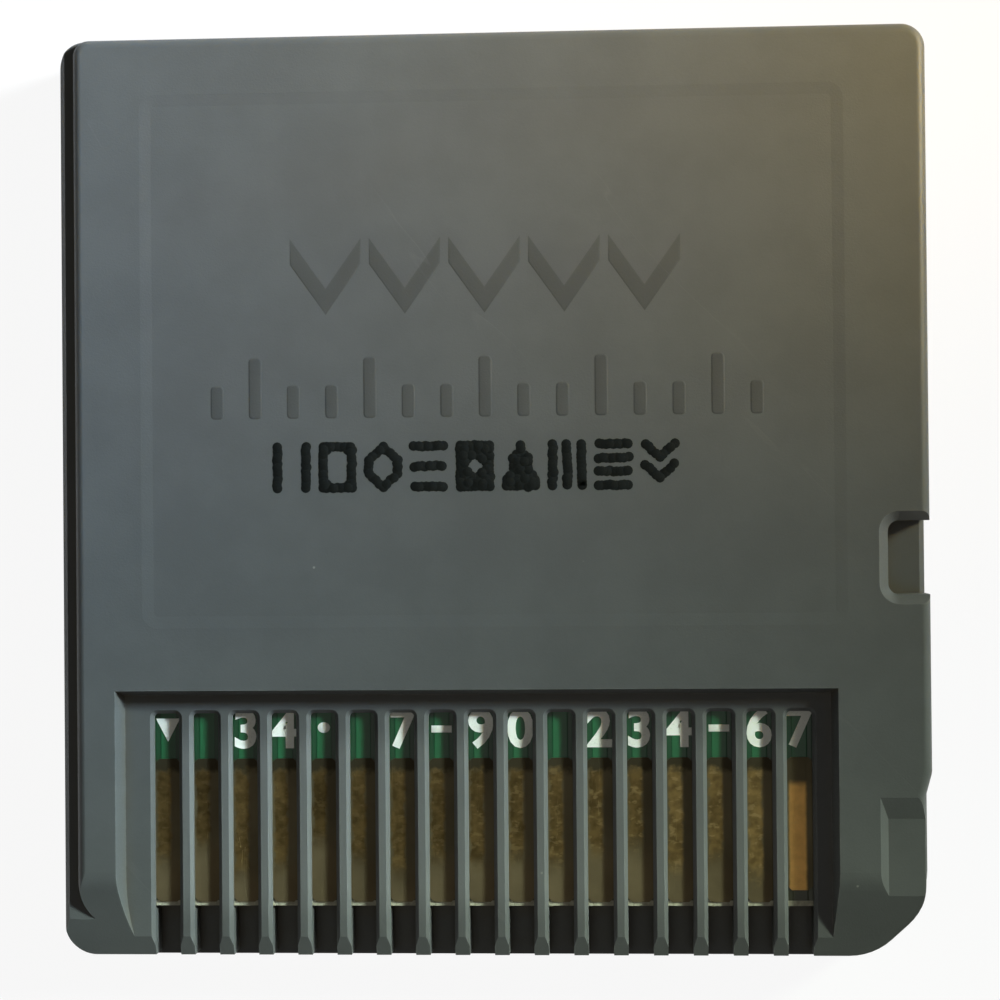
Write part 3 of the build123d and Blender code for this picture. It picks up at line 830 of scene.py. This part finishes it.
class CARTRIDGE_OT_tick_scale(bpy.types.Operator):
    """Model the row of raised ticks under the arrows, every third one long"""

    bl_idname = "cartridge.tick_scale"
    bl_label = "Tick scale"

    long_every = 3
    first_long = 1
    short_share = 0.55      # of a long tick's length
    corner_share = 0.3      # of a tick's width

    def execute(self, context):
        marks = context.scene.cartridge.moulded
        foot = REAR_FACE_Z - marks.panel_depth - MARK_SUNK
        first = -(marks.tick_count - 1) / 2 * marks.tick_pitch
        pieces = []
        for long_ones, length in ((True, marks.tick_height), (False, marks.tick_height * self.short_share)):
            piece = start_plate(marks.tick_width, length)
            select_parts(piece, "VERT", lambda corner: True)
            bpy.ops.mesh.bevel(offset=marks.tick_width * self.corner_share, segments=3, affect="VERTICES")
            raise_mark(piece, marks)
            copy_along([
                (first + i * marks.tick_pitch, marks.tick_y + length / 2, foot)
                for i in range(marks.tick_count) if (i % self.long_every == self.first_long) == long_ones
            ])
            bpy.ops.object.mode_set(mode="OBJECT")
            pieces.append(piece)
        piece = join_pieces(pieces)
        finish_piece(piece, "tick_scale", bpy.data.materials["moulded_marks"])
        return {"FINISHED"}


# Printed marks, each five drops wide and seven high: plain shapes only
INK_SHAPES = (
    ("#...#", "#...#", "#...#", "#...#", "#...#", "#...#", "#...#"),
    ("#####", "#...#", "#...#", "#...#", "#...#", "#...#", "#####"),
    ("..#..", ".#.#.", "#...#", "#...#", "#...#", ".#.#.", "..#.."),
    ("#####", ".....", ".....", "#####", ".....", ".....", "#####"),
    ("#####", "#####", "##.##", "#...#", "##.##", "#####", "#####"),
    ("..#..", "..#..", ".###.", ".###.", ".###.", "#####", "#####"),
    ("#.#.#", "#.#.#", "#.#.#", "#.#.#", "#.#.#", "#.#.#", "#.#.#"),
    ("#####", ".....", "#####", ".....", "#####", ".....", "#####"),
    ("#...#", ".#.#.", "..#..", "#...#", ".#.#.", "..#..", "....."),
)

# Neighbours that a drop runs into: beside it, below it and slantwise
INK_RUNS = ((1, 0), (0, 1), (1, 1), (-1, 1))


class CARTRIDGE_OT_ink_marks(bpy.types.Operator):
    """Print the row of plain black shapes, drop by drop"""

    bl_idname = "cartridge.ink_marks"
    bl_label = "Printed marks"

    seed = 7
    stray = 0.016           # how far a drop strays from its place, in millimetres
    rise = 0.003            # the most that it stands above the others, in millimetres
    drop_sides = 12
    shoulder_share = 0.8    # of the film's thickness
    break_up = 0.12
    gloss = 0.12

    def execute(self, context):
        settings = context.scene.cartridge
        ink = settings.ink
        scatter = random.Random(self.seed)
        foot = REAR_FACE_Z - settings.moulded.panel_depth - SUNK
        first = ink.center_x - (len(INK_SHAPES) - 1) / 2 * ink.mark_pitch
        drops = []
        for index, rows in enumerate(INK_SHAPES):
            middle = first + index * ink.mark_pitch
            half_width, half_height = (len(rows[0]) - 1) / 2, (len(rows) - 1) / 2
            cells = [(c, r) for r, line in enumerate(rows) for c, drop in enumerate(line) if drop == "#"]
            runs = [
                (c + across / 2, r + down / 2) for c, r in cells for across, down in INK_RUNS
                if (c + across, r + down) in cells
            ]
            for column, row in cells + runs:
                drops.append((
                    middle + (column - half_width) * ink.dot_pitch_x + scatter.gauss(0, self.stray) * MM,
                    ink.center_y + (half_height - row) * ink.dot_pitch_y + scatter.gauss(0, self.stray) * MM,
                    foot + scatter.uniform(0.0, self.rise) * MM,
                ))
        piece = start_disc(self.drop_sides, ink.dot_size / 2)
        stand_up(piece, ink.film + SUNK, ink.film * self.shoulder_share)
        copy_along(drops)
        bpy.ops.object.mode_set(mode="OBJECT")
        finish = print_finish("black_ink", ink.colour, self.break_up, settings.shell.colour, self.gloss)
        finish_piece(piece, "ink_marks", finish)
        return {"FINISHED"}


class CARTRIDGE_OT_pin_legend(bpy.types.Operator):
    """Print the pin-one triangle and the pins' last figures on the board"""

    bl_idname = "cartridge.pin_legend"
    bl_label = "Pin legend"

    figures = {3: "3", 4: "4", 7: "7", 9: "9", 10: "0", 12: "2", 13: "3", 14: "4", 16: "6", 17: "7"}
    font_share = 1.45            # size of the type over the height of its figures
    swell = 0.06 * MM            # by which the strokes are made bolder
    # Triangle, dot and dashes: pin, sides, radius, squeeze along the contact and rise above the row's middle
    shapes = (
        (1, 3, 0.54 * MM, 1.1, 0.2 * MM),
        (5, 16, 0.24 * MM, 0.85, 0.13 * MM),
        (8, 4, 0.55 * MM, 0.34, 0.06 * MM),
        (15, 4, 0.55 * MM, 0.34, 0.06 * MM),
    )
    turns = {3: math.pi, 4: math.pi / 4}     # by which a shape of so many sides is turned
    shoulder_share = 0.5                     # of the film's thickness
    break_up = 0.2
    gloss = 0.5

    def execute(self, context):
        legend = context.scene.cartridge.legend
        foot = BOARD_HIGH.z - SUNK / 2
        thick = legend.film + SUNK / 2
        pieces = []
        for pin, figure in self.figures.items():
            begin_piece()
            bpy.ops.object.text_add(location=(0.0, 0.0, 0.0))
            text = context.object.data
            text.body = figure
            text.align_x = "CENTER"
            text.align_y = "CENTER"
            text.size = legend.size * self.font_share
            text.offset = self.swell
            text.extrude = thick / 2
            text.resolution_u = 4
            bpy.ops.object.convert(target="MESH")
            piece = context.object
            piece.location = (CONTACT_X[pin - 1], legend.center_y, foot + thick / 2)
            bpy.ops.object.transform_apply(location=True, rotation=True, scale=True)
            pieces.append(piece)
        for pin, sides, radius, squeeze, rise in self.shapes:
            piece = start_disc(sides, radius)
            turn = self.turns.get(sides, 0.0)
            bpy.ops.transform.rotate(value=turn, orient_axis="Z", center_override=(0.0, 0.0, 0.0))
            bpy.ops.transform.resize(value=(1.0, squeeze, 1.0), center_override=(0.0, 0.0, 0.0))
            stand_up(piece, thick, legend.film * self.shoulder_share)
            copy_along([(CONTACT_X[pin - 1], legend.center_y + rise, foot)])
            bpy.ops.object.mode_set(mode="OBJECT")
            pieces.append(piece)
        mask = context.scene.cartridge.board.mask_colour
        finish = print_finish("legend_white", legend.colour, self.break_up, mask, self.gloss)
        finish_piece(join_pieces(pieces), "pin_legend", finish)
        return {"FINISHED"}


def aimed_lamp(kind, name, position, target, power, colour):
    """A lamp at a place, turned to a target and hidden from the camera."""
    begin_piece()
    toward = Vector(target) - Vector(position)
    turn = toward.to_track_quat("-Z", "Y").to_euler()
    bpy.ops.object.light_add(type=kind, location=position, rotation=turn)
    lamp = bpy.context.object
    lamp.name = name
    lamp.data.energy = power
    lamp.data.color = colour
    lamp.visible_camera = False
    return lamp.data


def seen_directly(tree):
    """1 for rays from the camera, mirrors and glass, which see the pale floor as white."""
    path = place(tree, "ShaderNodeLightPath").outputs
    seen = calculate(tree, "MAXIMUM", path["Is Camera Ray"], path["Is Glossy Ray"])
    return calculate(tree, "MAXIMUM", seen, path["Is Transmission Ray"])


class CARTRIDGE_OT_stage(bpy.types.Operator):
    """Set the floor, the background, the lamps and the camera"""

    bl_idname = "cartridge.stage"
    bl_label = "Stage"

    # Places in metres, angles in degrees
    camera_place = (5.66 * MM, -1.08 * MM, 90.0 * MM)
    camera_turn = (0.599, 3.416, -0.502)
    sensor_width = 36.0       # millimetres
    clip_start = 0.005
    clip_end = 10.0
    floor_size = 1.6
    floor_drop = 0.02 * MM    # below the card
    floor_whiteness = 0.92
    horizon_low = 0.03
    horizon_high = 0.36
    key_place = (0.132, 0.062, 0.088)
    key_radius = 0.018
    window_aim = (-0.080, -0.096, 0.0)
    window_cone = 31.2
    upper_aim = (-0.115, 0.009, 0.0)
    upper_cone = 39.2
    lamp_aim = (0.022, 0.031, 0.0)
    lamp_cone = 20.0
    ceiling_place = (0.0, -0.030, 0.250)
    ceiling_size = 0.14

    def floor(self, stage):
        """A pale floor that keeps a faint shadow."""
        begin_piece()
        bpy.ops.mesh.primitive_plane_add(size=self.floor_size, location=(0.0, 0.0, -self.floor_drop))
        floor = bpy.context.object
        floor.name = "floor"
        material, tree, shader, vector = start_material("pale_floor")
        mottle = spread(tree, noise(tree, vector, 30.0, 3.0), 0.97, 1.0)
        feed(tree, shader, Base_Color=shaded(tree, opaque(stage.floor_colour), mottle))
        shader.inputs["Roughness"].default_value = 0.9
        shader.inputs["Specular IOR Level"].default_value = 0.0
        glow = place(tree, "ShaderNodeEmission", {"Color": (1.0, 1.0, 1.0, 1.0), "Strength": 1.0})
        factor = product(tree, seen_directly(tree), self.floor_whiteness)
        mixed = place(
            tree, "ShaderNodeMixShader", {0: factor, 1: shader.outputs[0], 2: glow.outputs[0]}
        )
        tree.links.new(mixed.outputs[0], tree.nodes["Material Output"].inputs["Surface"])
        floor.data.materials.append(material)

    def background(self, stage):
        """A room that is white near the floor and dim overhead."""
        world = bpy.data.worlds.new("pale_room")
        bpy.context.scene.world = world
        world.use_nodes = True
        tree = world.node_tree
        direction = place(tree, "ShaderNodeTexCoord").outputs["Generated"]
        height = stepped(tree, axes(tree, direction)["Z"], self.horizon_low, self.horizon_high)
        colour = blended(tree, height, opaque(stage.horizon_colour), opaque(stage.overhead_colour))
        tree.links.new(colour, tree.nodes["Background"].inputs["Color"])

    def lamps(self, stage):
        """Three small lamps in one place, aimed at different parts of the card, and a dim ceiling."""
        spots = (
            ("window_lamp", self.window_aim, self.window_cone, stage.window_power, stage.window_colour),
            ("upper_lamp", self.upper_aim, self.upper_cone, stage.upper_power, stage.upper_colour),
            ("warm_lamp", self.lamp_aim, self.lamp_cone, stage.lamp_power, stage.lamp_colour),
        )
        for name, aim, cone, power, colour in spots:
            spot = aimed_lamp("SPOT", name, self.key_place, aim, power, colour)
            spot.spot_size = math.radians(cone)
            spot.spot_blend = 1.0
            spot.shadow_soft_size = self.key_radius
        middle = (0.0, 0.0, REAR_FACE_Z)
        ceiling = aimed_lamp(
            "AREA", "ceiling_lamp", self.ceiling_place, middle, stage.ceiling_power, stage.ceiling_colour
        )
        ceiling.shape = "SQUARE"
        ceiling.size = self.ceiling_size

    def execute(self, context):
        stage = context.scene.cartridge.stage
        context.scene.view_settings.view_transform = "Standard"
        self.floor(stage)
        self.background(stage)
        self.lamps(stage)
        begin_piece()
        turn = tuple(math.radians(angle) for angle in self.camera_turn)
        bpy.ops.object.camera_add(location=self.camera_place, rotation=turn)
        camera = context.object
        camera.data.sensor_width = self.sensor_width
        camera.data.lens = stage.lens
        camera.data.clip_start = self.clip_start
        camera.data.clip_end = self.clip_end
        context.scene.camera = camera
        return {"FINISHED"}


OPERATORS = (
    CARTRIDGE_OT_shared_effects,
    CARTRIDGE_OT_shells,
    CARTRIDGE_OT_board,
    CARTRIDGE_OT_contacts,
    CARTRIDGE_OT_packages,
    CARTRIDGE_OT_insertion_arrows,
    CARTRIDGE_OT_tick_scale,
    CARTRIDGE_OT_ink_marks,
    CARTRIDGE_OT_pin_legend,
    CARTRIDGE_OT_stage,
)


class CARTRIDGE_PT_sidebar(bpy.types.Panel):
    """The cartridge's pieces and what may be changed on them"""

    bl_label = "Cartridge"
    bl_idname = "CARTRIDGE_PT_sidebar"
    bl_space_type = "VIEW_3D"
    bl_region_type = "UI"
    bl_category = "Cartridge"

    def draw(self, context):
        layout = self.layout
        for operator in OPERATORS:
            layout.operator(operator.bl_idname)
        settings = context.scene.cartridge
        for group in settings.bl_rna.properties.keys():
            values = getattr(settings, group)
            if not isinstance(values, bpy.types.PropertyGroup):
                continue
            box = layout.box()
            box.label(text=group.replace("_", " ").capitalize())
            for key in values.__annotations__:
                box.prop(values, key)


CLASSES = (
    ShellFinish, BoardFinish, ContactFinish, PackageFinish, MouldedMarks, InkMarks, PinLegend, Stage,
    CartridgeSettings, *OPERATORS, CARTRIDGE_PT_sidebar,
)


def register():
    for kind in CLASSES:
        bpy.utils.register_class(kind)
    bpy.types.Scene.cartridge = PointerProperty(type=CartridgeSettings)


def unregister():
    del bpy.types.Scene.cartridge
    for kind in reversed(CLASSES):
        bpy.utils.unregister_class(kind)


def main():
    register()
    bpy.ops.cartridge.shared_effects()
    bpy.ops.cartridge.shells()
    bpy.ops.cartridge.board()
    bpy.ops.cartridge.contacts()
    bpy.ops.cartridge.packages()
    bpy.ops.cartridge.insertion_arrows()
    bpy.ops.cartridge.tick_scale()
    bpy.ops.cartridge.ink_marks()
    bpy.ops.cartridge.pin_legend()
    bpy.ops.cartridge.stage()


if __name__ == "__main__":
    main()
